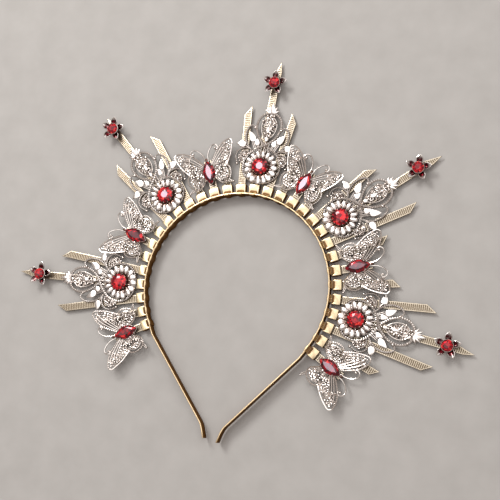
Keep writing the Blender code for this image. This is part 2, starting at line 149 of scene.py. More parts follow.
# name, place, size, radiance, colour
LAMPS = (
    ("skylight", (-0.12, 0.55, 1.6), (2.3, 2.5), 1.15, (1.0, 0.98, 0.97)),
    ("key", (-0.6, 0.65, 1.0), (0.4, 0.4), 16.0, (1.0, 0.98, 0.95)),
)
# A glint is a small lamp that the camera sees in a stone's table. Each has its slot and radiance.
GLINT_HEIGHT = 1.19
GLINT_SIZE = (0.05, 0.05)
GLINT_COLOUR = (0.90, 0.88, 1.0)
FLOWER_GLINTS = {-6: 16.0, 0: 16.0}
MARQUISE_GLINTS = {-9: 0.8, -3: 15.0, 3: 19.0, 9: 3.6, 15: 7.0}

# The camera, fitted to the photograph: where it stands from the ring's centre, and how it is turned.
CAMERA_PLACE = Vector((199.6, -62.4, 627.9)) * MM
CAMERA_TURNS = (("Y", -0.2785), ("X", -0.1804), ("Z", -0.1345))
CAMERA_LENS = 72.55
CAMERA_SENSOR = 36.0

band_low, band_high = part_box("headband")
RING_CENTRE = Vector(((band_low.x + band_high.x) / 2, band_high.y - BOX_OUTER * MM, 0.0))


# Places, paths and outlines.


def at(across, along, height=0.0):
    return Matrix.Translation((across, along, height))


def rotation(degrees, axis):
    return Matrix.Rotation(math.radians(degrees), 4, axis)


def clockwise(degrees, pivot=(0, 0)):
    """A turn about the pivot, as the crown's front is seen."""
    place = at(*pivot)
    return place @ rotation(-degrees, "Z") @ place.inverted()


def polar(radius, degrees, height=0.0):
    """A point at that distance from the origin, its angle clockwise from Y."""
    angle = math.radians(degrees)
    return Vector((radius * math.sin(angle), radius * math.cos(angle), height))


def padded(path, closed=False, ahead=1):
    """The path with a point before it and some after it, which repeat its ends where it is open."""
    return path[-1:] + path + path[:ahead] if closed else path[:1] + path + path[-1:]


def smooth_path(points, closed=False, per_span=8):
    """A smooth curve through the points."""
    points = [Vector(point).to_3d() for point in points]
    around = padded(points, closed, 2)
    path = []
    for a, b, c, d in zip(around, around[1:], around[2:], around[3:]):
        for j in range(per_span):
            t = j / per_span
            path.append((2 * b + (c - a) * t + (2 * a - 5 * b + 4 * c - d) * t ** 2
                         + (3 * b - a - 3 * c + d) * t ** 3) / 2)
    return path if closed else path + [points[-1]]


def raised(points, height, closed=False):
    """A smooth level curve through the points, which are across and along."""
    return smooth_path([(*point, height) for point in points], closed)


def both_sides(half):
    """A closed outline from its right half, whose ends lie on the middle line."""
    return [*half, *((-across, along) for across, along in half[-2:0:-1])]


def even_path(path, step, closed=False, group=1):
    """The path again, with its points one step apart, in whole groups of points."""
    path = list(path) + ([path[0]] if closed else [])
    lengths = [0.0]
    for a, b in zip(path, path[1:]):
        lengths.append(lengths[-1] + (b - a).length)
    count = max(group, round(lengths[-1] / step / group) * group)
    result = []
    span = 0
    for i in range(count if closed else count + 1):
        wanted = lengths[-1] * i / count
        while span < len(path) - 2 and lengths[span + 1] < wanted:
            span += 1
        share = (wanted - lengths[span]) / max(lengths[span + 1] - lengths[span], 1e-9)
        result.append(path[span].lerp(path[span + 1], min(share, 1.0)))
    return result


def oval(centre, half, height, steps=48, turn=0.0):
    """A closed level oval, turned clockwise."""
    turned = Matrix.Rotation(-math.radians(turn), 2)
    points = []
    for i in range(steps):
        t = math.tau * i / steps
        point = turned @ Vector((half[0] * math.sin(t), half[1] * math.cos(t)))
        points.append((Vector(centre) + point).to_3d() + Vector((0, 0, height)))
    return points


def round_outline(share):
    """A point of a circle of radius 1, at that share of the way round."""
    return Vector((math.sin(math.tau * share), math.cos(math.tau * share)))


def marquise(share):
    """A point of a pointed oval of half width and half length 1, at that share of the way round."""
    side = 1 if share < 0.5 else -1
    t = (share * 2) % 1.0
    return Vector((side * (1 - (2 * t - 1) ** 2), side * (1 - 2 * t)))


def crossings(outline, along):
    """Where a line across meets the closed outline."""
    return [a.x + (b.x - a.x) * (along - a.y) / (b.y - a.y)
            for a, b in zip(outline, outline[1:] + outline[:1]) if (a.y > along) != (b.y > along)]


def inside(point, outline):
    return sum(point.x < across for across in crossings(outline, point.y)) % 2 == 1


def room(point, outline):
    """The distance from the point to the nearest side of the outline."""
    feet = []
    for a, b in zip(outline, outline[1:] + outline[:1]):
        foot, share = intersect_point_line(point, a, b)
        feet.append(foot if 0 <= share <= 1 else a if share < 0 else b)
    return min((foot - point).length for foot in feet)


# Closed shapes, each a bmesh of its own.

SHARP = math.radians(30)
# A leaf's depth below its middle, as a share of its height.
LEAF_BELLY = 0.2
GIRDLE_HALF = 0.1
# Shares: a stone's back of its width, its girdle of its height, its kite facets of what is above.
STONE_BACK = 0.62
GIRDLE_LEVEL = 0.42
KITE_LEVEL = 0.68


def closed_shape(bm):
    """The shape with its faces pointing outwards."""
    bmesh.ops.recalc_face_normals(bm, faces=bm.faces)
    return bm


def verts_in(geometry):
    return [item for item in geometry if isinstance(item, bmesh.types.BMVert)]


def edges_in(geometry):
    return [item for item in geometry if isinstance(item, bmesh.types.BMEdge)]


def round_edges(bm, edges, rounding):
    bmesh.ops.bevel(bm, geom=edges, offset=rounding, offset_type="OFFSET", segments=2, profile=0.5,
                    affect="EDGES", clamp_overlap=True, material=-1)


def mirror(bm):
    """Turns the shape into its mirror image across the middle line."""
    bm.transform(Matrix.Scale(-1, 4, (1, 0, 0)))
    bmesh.ops.reverse_faces(bm, faces=bm.faces)


def sink(bm, face, border, vec, even=False):
    """Moves what is within the face's border by vec. It gives that outline, and what the move adds."""
    bmesh.ops.inset_region(bm, faces=[face], thickness=border, use_even_offset=even)
    outline = [vert.co.copy() for vert in face.verts]
    grown = bmesh.ops.extrude_face_region(bm, geom=[face])["geom"]
    bmesh.ops.delete(bm, geom=[face], context="FACES_ONLY")
    bmesh.ops.translate(bm, verts=verts_in(grown), vec=vec)
    return outline, grown


def walled(sheet, thickness):
    """The closed shape of a sheet of that thickness."""
    closed_shape(sheet)
    bmesh.ops.solidify(sheet, geom=sheet.faces[:], thickness=thickness)
    return closed_shape(sheet)


def spun(bm, steps):
    """The closed shape that an upright outline makes in a full turn about Z."""
    bmesh.ops.spin(bm, geom=bm.verts[:] + bm.edges[:], cent=(0, 0, 0), axis=(0, 0, 1), angle=math.tau,
                   steps=steps, use_merge=True)
    return closed_shape(bm)


def wire(path, radius, sides=6, closed=False, flat=1.0, twists=0):
    """A wire along the path. Its radius may be a function of the step, and flat is its height over its
    width. A flat wire turned through some half twists looks like rope."""
    path = [Vector(point).to_3d() for point in path]
    count = len(path)
    stations = []
    up = Vector((0, 0, 1))
    around = padded(path, closed)
    for before, point, after in zip(around, path, around[2:]):
        run = (after - before).normalized()
        up = (up - run * up.dot(run)).normalized()
        turned = Matrix((run.cross(up), up, run)).transposed().to_4x4()
        stations.append(Matrix.Translation(point) @ turned)
    if closed:
        stations.append(stations[0])
    bm = bmesh.new()
    bmesh.ops.create_circle(bm, cap_ends=not closed, segments=sides, radius=1.0)
    verts, edges = bm.verts[:], bm.edges[:]
    last = Matrix()
    for i, station in enumerate(stations):
        if i:
            grown = bmesh.ops.extrude_edge_only(bm, edges=edges)["geom"]
            verts, edges = verts_in(grown), edges_in(grown)
        size = radius(i % count) if callable(radius) else radius
        twist = Matrix.Rotation(math.pi * twists * i / (len(stations) - 1), 4, "Z")
        place = station @ twist @ Matrix.Diagonal((size, size * flat, 1, 1))
        bmesh.ops.transform(bm, matrix=place @ last.inverted(), verts=verts)
        last = place
    if closed:
        bmesh.ops.remove_doubles(bm, verts=bm.verts, dist=1e-4)
    else:
        bmesh.ops.holes_fill(bm, edges=edges)
    return closed_shape(bm)


def beaded(path, radius, pitch, closed=False, sides=7):
    """A string of beads along the path, as cast in one."""
    rings = (0.6, 0.92, 1.0, 0.92)
    steps = even_path(path, pitch / len(rings), closed, len(rings))
    return wire(steps, lambda i: radius * rings[i % len(rings)], sides, closed)


def rope(path, radius, lay=2.6, turn_steps=6):
    """A twisted wire along the path, one half twist to each lay."""
    steps = even_path(path, lay / turn_steps)
    return wire(steps, radius, flat=0.6, twists=round(len(steps) / turn_steps))


def plain(path, radius, closed=False, step=0.7, sides=8, flat=1.0, end=0.55):
    """A smooth wire along the path, narrowed at its ends."""
    steps = even_path(path, step, closed)
    ends = () if closed else (0, len(steps) - 1)
    return wire(steps, lambda i: radius * (end if i in ends else 1.0), sides, closed, flat)


def ball(place, radius, sides=8):
    bm = bmesh.new()
    bmesh.ops.create_uvsphere(bm, u_segments=sides, v_segments=sides - 2, radius=radius,
                              matrix=Matrix.Translation(place))
    return bm


def ring(radius, thickness, steps=8, sides=6):
    bm = bmesh.new()
    bmesh.ops.create_circle(bm, segments=sides, radius=thickness, matrix=at(radius, 0) @ rotation(90, "X"))
    return spun(bm, steps)


def turned_shape(profile, steps=32):
    """A ring turned about Z from a closed profile of radius and height."""
    bm = bmesh.new()
    verts = [bm.verts.new((radius, 0, height)) for radius, height in profile]
    for pair in zip(verts, verts[1:] + verts[:1]):
        bm.edges.new(pair)
    return spun(bm, steps)


def leaf(length, width, height, sides=12, point=1.0, full=0.55):
    """A domed leaf along Y about the origin: round at its foot, widest a third of the way up, and drawn
    to a tip by point, from 0 to 1. Its top is broad and nearly level where full is low."""
    bm = bmesh.new()
    bmesh.ops.create_uvsphere(bm, u_segments=sides, v_segments=sides - 2, radius=1.0,
                              matrix=rotation(90, "X"))
    for vert in bm.verts:
        x, t, z = vert.co
        narrow = 1 - point + point * 1.3 * math.sqrt(max(0.0, (1 - t) / 2))
        dome = abs(z) ** full * height * (1.0 if z > 0 else -LEAF_BELLY)
        vert.co = (x * narrow * width / 2, t * length / 2, dome * min(narrow, 1.0))
    return closed_shape(bm)


def leaf_from(foot, tip, width, height):
    """A leaf laid from its foot to its tip, each given as across, along and height."""
    foot, tip = Vector(foot), Vector(tip)
    run = tip - foot
    turned = run.to_track_quat("Y", "Z").to_matrix().to_4x4()
    shape = leaf(run.length, width, height, full=0.8)
    shape.transform(Matrix.Translation((foot + tip) / 2) @ turned)
    return shape


def prism(outline, low, high, rounding=0.0):
    """A flat solid with the outline, between two heights. Its sharp edges are rounded by rounding."""
    bm = bmesh.new()
    face = bm.faces.new([bm.verts.new((point[0], point[1], low)) for point in outline])
    grown = bmesh.ops.extrude_face_region(bm, geom=[face])["geom"]
    bmesh.ops.translate(bm, verts=verts_in(grown), vec=(0, 0, high - low))
    closed_shape(bm)
    if rounding:
        sharp = [edge for edge in bm.edges if edge.calc_face_angle(0.0) > SHARP]
        round_edges(bm, sharp, rounding)
    return bm


def cut_stone(outline, cut, seed, core):
    """A cut stone from the outline of its girdle: a blunt back, a thin girdle, star, kite and girdle
    facets, and a flat table. Each facet gets its own glow, a painted share of light that stands for what it
    sends back, and core is the table's."""
    girdle = cut.back + (cut.front - cut.back) * GIRDLE_LEVEL
    middle = [(1 + share) / 2 for share in cut.table]
    rows = (
        (12, 0.0, (STONE_BACK, STONE_BACK), cut.back),
        (24, 0.0, (1.0, 1.0), girdle - GIRDLE_HALF),
        (24, 0.0, (1.0, 1.0), girdle + GIRDLE_HALF),
        (12, 0.5, middle, girdle + (cut.front - girdle) * KITE_LEVEL),
        (12, 0.0, cut.table, cut.front),
    )
    bm = bmesh.new()
    glow = bm.faces.layers.float.new("glow")
    for count, shift, size, height in rows:
        for i in range(count):
            point = outline(((i + shift) / count) % 1.0)
            bm.verts.new((point.x * size[0] * cut.half[0], point.y * size[1] * cut.half[1], height))
    within = bmesh.ops.convex_hull(bm, input=bm.verts)["geom_interior"]
    bmesh.ops.delete(bm, geom=within, context="VERTS")
    bmesh.ops.dissolve_limit(bm, angle_limit=math.radians(2), verts=bm.verts, edges=bm.edges)
    closed_shape(bm)
    chance = random.Random(seed)
    for face in bm.faces:
        face[glow] = chance.uniform(0.0, 1.0) ** cut.depth
    max(bm.faces, key=lambda face: face.calc_center_median().z)[glow] = core
    return bm


class Ornament:
    """A mesh in the making, to which closed shapes are added one at a time. A faceted one keeps each of
    its faces flat."""

    def __init__(self, *finishes, faceted=False):
        self.bm = bmesh.new()
        self.finishes = finishes
        self.faceted = faceted

    def add(self, shape, finish=None, place=None, both=False, smooth=True):
        """Takes the shape in, moved by place, and where both is set its mirror image across X too.
        Without a finish the shape keeps its faces' own."""
        if place is not None:
            shape.transform(place)
        for face in shape.faces:
            face.smooth = smooth
            if finish:
                face.material_index = self.finishes.index(finish)
        mesh = bpy.data.meshes.new("shape")
        shape.to_mesh(mesh)
        self.bm.from_mesh(mesh)
        if both:
            mirror(shape)
            shape.to_mesh(mesh)
            self.bm.from_mesh(mesh)
        shape.free()
        bpy.data.meshes.remove(mesh)

    def take(self, other, place=Matrix()):
        """Adds another ornament, which has the same finishes."""
        mesh = other.mesh("part", place)
        self.bm.from_mesh(mesh)
        bpy.data.meshes.remove(mesh)

    def mesh(self, name, place=Matrix()):
        mesh = bpy.data.meshes.new(name)
        self.bm.to_mesh(mesh)
        for finish in self.finishes:
            mesh.materials.append(finish)
        mesh.transform(place)
        if not self.faceted:
            mesh.set_sharp_from_angle(angle=math.radians(38))
        return mesh

    def piece(self, name, place, slot, *nodes):
        """Puts a finished piece on the crown in place of the nodes."""
        obj = in_scene(name, self.mesh(name, place))
        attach(obj, "root")
        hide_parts(*nodes)


def in_scene(name, data):
    """A new object in the scene."""
    obj = bpy.data.objects.new(name, data)
    bpy.context.scene.collection.objects.link(obj)
    return obj


def at_slot(slot, turn=0.0, lean=0.0):
    """From an ornament's own millimetres to its place on the crown."""
    leaned = clockwise(lean, (0, BOX_OUTER))
    return Matrix.Translation(RING_CENTRE) @ Matrix.Scale(MM, 4) @ clockwise(slot * PITCH + turn) @ leaned


# Finishes.


class Value:
    """A value in a material, which takes part in Python sums."""

    def __init__(self, finish, socket):
        self.finish = finish
        self.socket = socket

    def __add__(self, other):
        return self.finish.node("Math", {"operation": "ADD"}, {0: self, 1: other})

    def __mul__(self, other):
        return self.finish.node("Math", {"operation": "MULTIPLY"}, {0: self, 1: other})

    __radd__ = __add__
    __rmul__ = __mul__


class Finish:
    """A material in the making, round one Principled shader."""

    def __init__(self, name, **constants):
        self.material = bpy.data.materials.new(name)
        self.material.use_nodes = True
        self.tree = self.material.node_tree
        self.shader = self.tree.nodes["Principled BSDF"]
        for socket, value in constants.items():
            self.shader.inputs[socket.replace("_", " ")].default_value = value

    def node(self, kind, settings=None, inputs=None, output=0):
        """A node's output. Its settings come first; a ramp's stops are given as place and colour."""
        made = self.tree.nodes.new("ShaderNode" + kind)
        for setting, value in (settings or {}).items():
            if setting == "stops":
                for i, (place, colour) in enumerate(value):
                    ramp = made.color_ramp.elements
                    stop = ramp[i] if i < 2 else ramp.new(place)
                    stop.position = place
                    stop.color = (*colour, 1.0)
            else:
                setattr(made, setting, value)
        for socket, value in (inputs or {}).items():
            self.feed(made.inputs[socket], value)
        return Value(self, made.outputs[output])

    def feed(self, socket, value):
        if isinstance(value, Value):
            self.tree.links.new(value.socket, socket)
        else:
            socket.default_value = value

    def give(self, **values):
        """Feeds the shader's own sockets."""
        for socket, value in values.items():
            self.feed(self.shader.inputs[socket.replace("_", " ")], value)
        return self.material

    def place(self):
        return self.node("TexCoord", output="Object")

    def noise(self, scale, detail=3.0):
        """A soft pattern with that many waves to the metre."""
        return self.node("TexNoise", inputs={"Vector": self.place(), "Scale": scale, "Detail": detail})

    def range(self, value, low, high, to_low=0.0, to_high=1.0):
        return self.node("MapRange", inputs={"Value": value, "From Min": low, "From Max": high,
                                             "To Min": to_low, "To Max": to_high})

    def mix(self, share, first, second):
        first, second = ((*c, 1.0) if isinstance(c, tuple) else c for c in (first, second))
        return self.node("Mix", {"data_type": "RGBA"}, {0: share, 6: first, 7: second}, 2)

    def bump(self, height, distance):
        return self.node("Bump", inputs={"Height": height, "Distance": distance})

    def flank_shade_mask(self):
        """The mask of painted flank shade: 0 where the surface faces the crown's front, rising to 1 where it
        faces sideways or back.
        """
        normal = self.node("NewGeometry", output="Normal")
        upward = self.node("SeparateXYZ", inputs={0: normal}, output="Z")
        return self.range(upward, 0.74, 0.12)


def plated_metal(name, bright, deep, roughness, flank_shade_weight, patchy=0.15, scratch=0.000012):
    """Plating with patches of a deeper tone and fine scratches. Its flanks take the deeper tone as painted
    shade, as far as its flank weight says.
    """
    finish = Finish(name, Metallic=1.0, Specular_Tint=(0.45, 0.38, 0.33, 1.0))
    clouds = finish.noise(420.0)
    grain = finish.noise(2600.0, 2.0)
    # Painted shade: the flanks go towards the deep tone. The patches are the plating's own tone.
    tone = finish.flank_shade_mask() * flank_shade_weight + finish.range(clouds, 0.45, 0.65) * patchy
    colour = finish.mix(tone, bright, deep)
    rough = roughness + finish.range(clouds, 0.4, 0.7) * 0.06 + finish.range(grain, 0.3, 0.7) * 0.05
    return finish.give(Base_Color=colour, Roughness=rough, Normal=finish.bump(grain, scratch))


def ruby_glass(name):
    """Foil-backed red glass under a clear polish: each facet's colour is its own painted share of light,
    which stands for what the facet and the facets seen through it send back, and it glows faintly as painted
    light."""
    # The emission gives the facets a faint painted glow.
    finish = Finish(name, Metallic=0.4, Roughness=0.12, Specular_IOR_Level=0.0, Coat_Weight=1.0,
                    Coat_Roughness=0.015, Coat_IOR=1.55, Emission_Strength=0.2)
    glow = finish.node("Attribute", {"attribute_name": "glow"}, output="Fac")
    # Cells of painted sparkle in the facets.
    cells = finish.node("TexVoronoi", inputs={"Vector": finish.place(), "Scale": 600.0}, output="Color")
    spark = finish.node("SeparateXYZ", inputs={0: cells})
    stops = ((0.0, (0.015, 0.0, 0.002)), (0.35, (0.09, 0.0, 0.005)), (0.6, (0.38, 0.001, 0.010)),
             (0.8, (0.80, 0.01, 0.02)), (0.97, (1.0, 0.12, 0.08)))
    colour = finish.node("ValToRGB", {"stops": stops}, {0: glow * 0.6 + spark * 0.4})
    return finish.give(Base_Color=colour, Emission_Color=colour)


def painted_shade_and_reflection_silver(name, painted_middle_colour, flank_shade_weight=0.0):
    """Mirror silver with a painted colour towards the middle of its flower: painted shade on a daisy, and a
    painted red reflection of its stone on a tip flower. Its flanks take painted shade as far as its flank
    weight says."""
    finish = Finish(name, Metallic=1.0)
    shade_and_reflection = finish.node("Attribute", {"attribute_name": "shade_and_reflection"}, output="Fac")
    streaks = finish.range(finish.noise(700.0), 0.35, 0.65, -0.15, 0.15)
    # The painted colour towards the middle, random streaks, and the painted flank shade.
    colour = finish.mix(shade_and_reflection + streaks + finish.flank_shade_mask() * flank_shade_weight, (0.93, 0.90, 0.88), painted_middle_colour)
    grain = finish.noise(1800.0, 2.0)
    return finish.give(Base_Color=colour, Roughness=finish.range(grain, 0.3, 0.7, 0.08, 0.2))


# In each plated finish, the number after its roughness is the weight of its painted flank shade.
BROWN_TONES = ((0.80, 0.62, 0.38), (0.24, 0.13, 0.06))
SLEEVE_GOLD = plated_metal("cream_gold", (0.76, 0.63, 0.41), (0.34, 0.18, 0.08), 0.27, 0.9)
# Strong painted flank shade: it darkens the band's sides and the tongues' insides.
BAND_GOLD = plated_metal("brown_gold", *BROWN_TONES, 0.24, 0.98)
# A copy of the band's tones with little painted shade, as painted light on the tongues' outer sides.
PLATE_GOLD = plated_metal("plate_gold", *BROWN_TONES, 0.26, 0.35)
# Dark gold as painted shade on the tongues' bends.
PAINTED_BEND_SHADE = plated_metal("painted_bend_shade_gold", (0.26, 0.14, 0.06), (0.09, 0.04, 0.018), 0.5, 0.8)
RAY_GOLD = plated_metal("pale_gold", (0.59, 0.52, 0.41), (0.26, 0.19, 0.12), 0.24, 0.9)
# Dark gold as painted shade in the rays' sunk panels.
PANEL = plated_metal("shadowed_gold", (0.22, 0.18, 0.13), (0.12, 0.08, 0.05), 0.42, 0.9)
SILVER = plated_metal("warm_silver", (0.99, 0.93, 0.88), (0.13, 0.07, 0.05), 0.14, 0.95, 0.22)
BRIGHT = plated_metal("polished_silver", (0.97, 0.94, 0.91), (0.40, 0.30, 0.25), 0.14, 0.95, 0.35, 0.000005)
# Dark silver as painted shade: the daisies' cups and the butterflies' seats and heads.
PAINTED_SHADE_SILVER = plated_metal("painted_shade_silver", (0.16, 0.09, 0.07), (0.05, 0.025, 0.02), 0.4, 0.6)
LACE = plated_metal("lace_silver", (0.99, 0.93, 0.88), (0.10, 0.055, 0.04), 0.14, 0.9, 0.5)
# Tip flower petals: a painted dark red reflection of the stone towards the middle.
PAINTED_REFLECTION_SILVER = painted_shade_and_reflection_silver("painted_shade_and_reflection_silver", (0.085, 0.006, 0.009))
# Daisy petals: painted shade towards the stone and down the flanks.
SHADED = painted_shade_and_reflection_silver("shaded_silver", (0.20, 0.11, 0.08), 0.8)
RUBY = ruby_glass("ruby_glass")


# The headband.


def rounded(path, reach):
    """The path with each corner sharper than 12 degrees turned in a small curve."""
    result = [path[0]]
    for before, corner, after in zip(path, path[1:], path[2:]):
        back, ahead = before - corner, after - corner
        if math.pi - back.angle(ahead) < math.radians(12):
            result.append(corner)
            continue
        start = corner + back.normalized() * min(reach, back.length / 2)
        end = corner + ahead.normalized() * min(reach, ahead.length / 2)
        for i in range(6):
            t = i / 5
            result.append(start * (1 - t) ** 2 + corner * 2 * t * (1 - t) + end * t ** 2)
    return result + [path[-1]]


def band():
    """The flat strip, from the left leg's tip over the top to the right leg's."""
    arc = [polar(RING_RADIUS, degrees) for degrees in range(-120, 121, 2)]
    left = [Vector((-across, along, 0)) for across, along in reversed(LEFT_LEG)]
    right = [Vector((across, along, 0)) for across, along in RIGHT_LEG]
    path = rounded(left + arc + right, LEG_BEND)
    around = padded(path)
    edges = [], []
    for before, point, after in zip(around, path, around[2:]):
        run = (after - before).normalized()
        across = Vector((run.y, -run.x, 0)) * BAND_THICKNESS / 2
        edges[0].append(point + across)
        edges[1].append(point - across)
    strip = Ornament(BAND_GOLD)
    strip.add(prism(edges[0] + edges[1][::-1], BAND_BACK, BAND_FRONT, BAND_ROUNDING))
    return strip


def tongue():
    """The sheet that leaves the box's front, bends forward, folds over the band and goes down inside. Its
    bend is dark with painted shade, its outer side has a copy of the band's finish with little painted shade,
    so it looks lit, and the part inside has the band's finish, with strong painted shade."""
    rise = Vector((RING_RADIUS + FOLD_RADIUS, BAND_FRONT + FOLD_PROUD - FOLD_RADIUS))
    start = Vector((TONGUE_START, BOX_FRONT - TONGUE_WALL / 2))
    profile = [start + Vector((TONGUE_ROOT, 0)), start]
    for i in range(1, 7):
        t = math.pi / 2 * (1 - i / 6)
        along = start.x - (start.x - rise.x) * math.cos(t)
        profile.append(Vector((along, rise.y - (rise.y - start.y) * math.sin(t))))
    for i in range(1, 9):
        t = math.pi * i / 8
        profile.append(Vector((RING_RADIUS + FOLD_RADIUS * math.cos(t), rise.y + FOLD_RADIUS * math.sin(t))))
    profile.append(Vector((RING_RADIUS - FOLD_RADIUS, BAND_BACK)))
    bm = bmesh.new()
    verts = [bm.verts.new((-TONGUE_HALF, along, height)) for along, height in profile]
    edges = [bm.edges.new(pair) for pair in zip(verts, verts[1:])]
    for _ in range(TONGUE_STEPS):
        grown = bmesh.ops.extrude_edge_only(bm, edges=edges)["geom"]
        edges = edges_in(grown)
        bmesh.ops.translate(bm, verts=verts_in(grown), vec=(2 * TONGUE_HALF / TONGUE_STEPS, 0, 0))
    for vert in bm.verts:
        if vert.co.y < RING_RADIUS:
            vert.co.y -= TONGUE_BULGE * (1 - (vert.co.x / TONGUE_HALF) ** 2)
            vert.co.x *= TONGUE_NARROWING
    walled(bm, TONGUE_WALL)
    for face in bm.faces:
        along = face.calc_center_median().y
        # The bend takes painted shade, the outer side the finish with painted light, the inside the band's
        # finish.
        face.material_index = 1 if along > SHADED_FROM else 3 if along > LIT_FROM else 2
    return bm


def sleeve():
    """A square folded box with an open mouth for its ray and a notch where its tongue leaves."""
    notch = TONGUE_HALF + NOTCH_GAP
    outline = [(-BOX_HALF, BOX_INNER), (-notch, BOX_INNER)]
    for centre, first in ((-notch + NOTCH_CORNER, -90), (notch - NOTCH_CORNER, 0)):
        for i in range(4):
            corner = polar(NOTCH_CORNER, first + 30 * i)
            outline.append((centre + corner.x, TONGUE_START - NOTCH_CORNER + corner.y))
    outline += [(notch, BOX_INNER), (BOX_HALF, BOX_INNER), (BOX_HALF, BOX_OUTER), (-BOX_HALF, BOX_OUTER)]
    box = prism(outline, 0.0, BOX_FRONT, BOX_ROUNDING)
    mouth = max(box.faces, key=lambda face: (face.normal.y > 0.99) * face.calc_area())
    sink(box, mouth, MOUTH_WALL, (0, -MOUTH_DEPTH, 0))
    work = Ornament(SLEEVE_GOLD, PAINTED_BEND_SHADE, BAND_GOLD, PLATE_GOLD)
    work.add(closed_shape(box), SLEEVE_GOLD)
    work.add(tongue())
    return work


def add_headband():
    band().piece("band", at_slot(0), "band_gold", "headband")
    one = sleeve()
    sleeves = Ornament(*one.finishes)
    for slot in range(-LAST_SLEEVE, LAST_SLEEVE + 1):
        sleeves.take(one, clockwise(slot * PITCH))
    sleeves.piece("sleeves", at_slot(0), "band_gold", "headband")


# The rays.


def ray(tip):
    """A flat bar with a raised border round a sunk panel, which is ribbed across."""
    bar = prism([(-RAY_HALF, RAY_BASE), (RAY_HALF, RAY_BASE), *tip], RAY_BACK, RAY_FRONT)
    front = max(bar.faces, key=lambda face: face.calc_center_median().z)
    rim = list(front.edges)
    panel, sunk = sink(bar, front, RAY_BORDER, (0, 0, -PANEL_DEPTH), even=True)
    # The sunk panel takes the dark gold of painted shade.
    for face in sunk:
        if isinstance(face, bmesh.types.BMFace):
            face.material_index = 1
    round_edges(bar, rim, RAY_ROUNDING)
    work = Ornament(RAY_GOLD, PANEL)
    work.add(closed_shape(bar), smooth=False)
    along = RAY_BASE + RAY_BORDER + RIB_PITCH / 2
    end = max(point.y for point in panel)
    while along < end:
        spans = [crossings(panel, along + shift) or [0.0] for shift in (-RIB_RADIUS, RIB_RADIUS)]
        low, high = max(map(min, spans)), min(map(max, spans))
        if high - low > SHORTEST_RIB:
            work.add(rib(low - RIB_OVERLAP, high + RIB_OVERLAP, along))
        along += RIB_PITCH
    return work


def rib(low, high, along):
    bm = bmesh.new()
    place = at((low + high) / 2, along, RAY_FRONT - PANEL_DEPTH)
    bmesh.ops.create_cone(bm, cap_ends=True, segments=6, radius1=RIB_RADIUS, radius2=RIB_RADIUS,
                          depth=high - low, matrix=place @ rotation(90, "Y"))
    return bm


def slanted_tip(reach, side, cut):
    """The two end corners of a ray cut on the slant, its long corner on that side."""
    right, left = (0, cut) if side > 0 else (cut, 0)
    return (RAY_HALF, reach - right), (-RAY_HALF, reach - left)


def pointed_tip(reach):
    """The corners of a ray's lopsided point."""
    right, left = POINT_SHOULDERS
    return (RAY_HALF, reach - right), (POINT_OFFSET, reach), (-RAY_HALF, reach - left)


def add_ray(name, number, tip, slot, lean):
    ray(tip).piece(f"{name}_plate_{number}", at_slot(slot, lean=lean), "ray_gold", f"{name}_{number}")


def add_rays():
    for number, (slot, _, _, lean, reach, _) in enumerate(CLUSTERS, 1):
        add_ray("centre_ray", number, pointed_tip(reach), slot, lean)
    for name, rows, cut in (("side_ray", SIDE_RAYS, SIDE_CUT), ("wing_ray", WING_RAYS, WING_CUT)):
        for number, (slot, reach, lean, side) in enumerate(rows, 1):
            add_ray(name, number, slanted_tip(reach, side, cut), slot, lean)


# The lace of the open work.

LACE_PITCH = 1.85
LACE_ROW = 0.87
LACE_REACH = 24
LACE_WIRE = 0.48
LACE_MARGIN = 0.5
BEAD_SHARE = 0.3


def lace(work, outline, seed, height=0.0, both=False):
    """Small cast rings and beads that fill the outline, each touching its neighbours."""
    outline = [Vector(point) for point in outline]
    middle = sum(outline, Vector((0, 0))) / len(outline)
    chance = random.Random(seed)
    for row in range(-LACE_REACH, LACE_REACH):
        for column in range(-LACE_REACH, LACE_REACH):
            centre = middle + Vector(((column + row % 2 / 2) * LACE_PITCH, row * LACE_PITCH * LACE_ROW))
            centre += Vector((chance.uniform(-0.2, 0.2), chance.uniform(-0.2, 0.2)))
            size, squash, turn = chance.uniform(0.78, 1.0), chance.uniform(0.7, 1.0), chance.uniform(0, 3.1)
            tilt, grain = chance.uniform(-0.5, 0.5), chance.random()
            if not inside(centre, outline) or room(centre, outline) < LACE_MARGIN:
                continue
            place = at(*centre, height + chance.uniform(-0.2, 0.2)) @ Matrix.Rotation(turn, 4, "Z")
            if grain < BEAD_SHARE:
                work.add(ball((0, 0, 0.2), chance.uniform(0.6, 0.85), 6), LACE, place, both)
            else:
                place = place @ Matrix.Rotation(tilt, 4, "X") @ Matrix.Diagonal((1, squash, 1, 1))
                work.add(ring(size, LACE_WIRE), LACE, place, both)


# The clusters.

# The crossed wire's half, from the top of its oval to the foot of its ring: across, along.
CROSSED_HALF = (
    (0.0, 119.2), (3.6, 118.6), (6.6, 116.2), (8.2, 112.4), (8.2, 108.2), (6.6, 103.8), (3.6, 99.8),
    (0.0, 96.8), (-4.2, 94.8), (-8.0, 92.2), (-10.9, 88.6), (-12.5, 84.6), (-12.5, 80.2), (-10.8, 76.0),
    (-7.2, 72.9), (-3.0, 71.4), (0.0, 71.2),
)
CROSSING = 96.8
CROSSING_REACH = 5.0
CROSSING_RISE = 1.2
